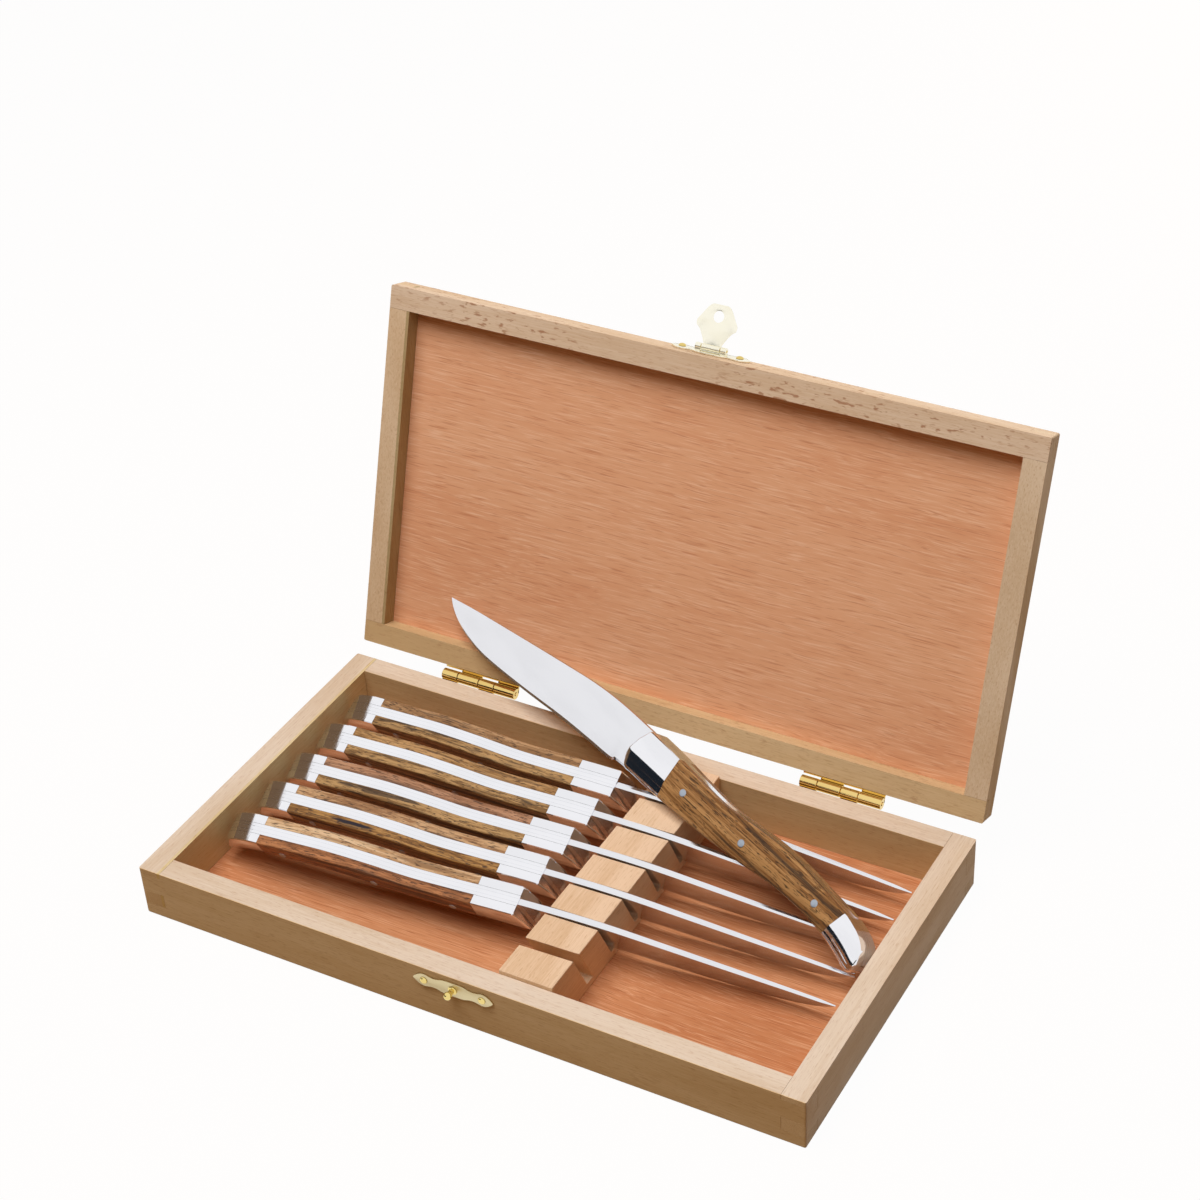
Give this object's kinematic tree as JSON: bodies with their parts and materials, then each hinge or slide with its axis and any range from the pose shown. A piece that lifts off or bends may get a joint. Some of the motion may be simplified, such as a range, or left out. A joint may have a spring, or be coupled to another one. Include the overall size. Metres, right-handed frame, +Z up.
{
  "type": "knife display case",
  "caption": "Shallow beech box with a hinged lid and brass flap catch; a slotted cross block holds table knives edge down, and one knife lies across them.",
  "frame": {"origin": "on the underside of the tray, at the middle of its length and depth", "axes": "+Z up; -Y out of the long front rail that carries the catch, so the lid's hinges are at +Y; +X along the length, towards the points of the stored knives"},
  "size_m": [0.26, 0.2115, 0.1708],
  "materials": {
    "beech": "sanded, oiled",
    "light_beech": "sanded, oiled",
    "plywood": "reddish plywood, sanded",
    "brass": "satin",
    "steel": "polished stainless steel",
    "handle_wood": "polished"
  },
  "bodies": {
    "tray": {"tray_front_rail": "beech", "tray_back_rail": "beech", "tray_left_rail": "beech", "tray_right_rail": "beech", "tray_bottom_panel": "plywood", "knife_block": "light_beech", "hinge_left_tray_leaf": "brass", "hinge_left_pin": "brass", "hinge_right_tray_leaf": "brass", "hinge_right_pin": "brass", "catch_tray_plate": "brass", "catch_knob": "brass", "catch_tray_nail_left": "brass", "catch_tray_nail_right": "brass"},
    "lid": {"lid_front_rail": "beech", "lid_back_rail": "beech", "lid_left_stile": "beech", "lid_right_stile": "beech", "lid_panel": "plywood", "hinge_left_lid_leaf": "brass", "hinge_right_lid_leaf": "brass", "catch_lid_plate": "brass", "catch_flap_pin": "brass", "catch_lid_nail_left": "brass", "catch_lid_nail_right": "brass"},
    "catch_flap": {"catch_flap": "brass"},
    "knife_1": {"knife_1_blade": "steel", "knife_1_bolster": "steel", "knife_1_butt_cap": "steel", "knife_1_scale_left": "handle_wood", "knife_1_scale_right": "handle_wood"},
    "knife_2": {"knife_2_blade": "steel", "knife_2_bolster": "steel", "knife_2_butt_cap": "steel", "knife_2_scale_left": "handle_wood", "knife_2_scale_right": "handle_wood"},
    "knife_3": {"knife_3_blade": "steel", "knife_3_bolster": "steel", "knife_3_butt_cap": "steel", "knife_3_scale_left": "handle_wood", "knife_3_scale_right": "handle_wood"},
    "knife_4": {"knife_4_blade": "steel", "knife_4_bolster": "steel", "knife_4_butt_cap": "steel", "knife_4_scale_left": "handle_wood", "knife_4_scale_right": "handle_wood"},
    "knife_5": {"knife_5_blade": "steel", "knife_5_bolster": "steel", "knife_5_butt_cap": "steel", "knife_5_scale_left": "handle_wood", "knife_5_scale_right": "handle_wood"},
    "display_knife": {"display_knife_blade": "steel", "display_knife_bolster": "steel", "display_knife_butt_cap": "steel", "display_knife_scale_left": "handle_wood", "display_knife_scale_right": "handle_wood", "display_knife_rivet_1": "steel", "display_knife_rivet_2": "steel", "display_knife_rivet_3": "steel"}
  },
  "joints": [
    {"name": "lid_hinge", "type": "hinge", "parent": "tray", "child": "lid", "pos_m": [0, 0.074, 0.0208], "axis": [-1, 0, 0], "range_deg": [-108.5, 0]},
    {"name": "catch_flap_hinge", "type": "hinge", "parent": "lid", "child": "catch_flap", "pos_m": [0, 0.12678, 0.15773], "axis": [-1, 0, 0], "range_deg": [-105.5, 74.5]},
    {"name": "knife_1_lift", "type": "slide", "parent": "tray", "child": "knife_1", "axis": [0, -0.4226, 0.9063], "range_m": [0, 0.045]},
    {"name": "knife_2_tilt", "type": "hinge", "parent": "tray", "child": "knife_2", "pos_m": [0.1163, -0.00223, 0.01085], "axis": [-0.0348, 0.9056, 0.4226], "range_deg": [0, 12]},
    {"name": "knife_3_lift", "type": "slide", "parent": "tray", "child": "knife_3", "axis": [0, -0.4226, 0.9063], "range_m": [0, 0.045]},
    {"name": "knife_4_lift", "type": "slide", "parent": "tray", "child": "knife_4", "axis": [0, -0.4226, 0.9063], "range_m": [0, 0.045]},
    {"name": "knife_5_lift", "type": "slide", "parent": "tray", "child": "knife_5", "axis": [0, -0.4226, 0.9063], "range_m": [0, 0.045]},
    {"name": "display_knife_take_out", "type": "slide", "parent": "knife_5", "child": "display_knife", "axis": [0, -0.9, 0.436], "range_m": [0, 0.26]}
  ],
  "couplings": [
    {"joint": "knife_4_lift", "follows": "knife_3_lift", "ratio": 1},
    {"joint": "knife_5_lift", "follows": "knife_3_lift", "ratio": 1},
    {"joint": "display_knife_take_out", "follows": "lid_hinge", "m_per_rad": -0.13}
  ]
}
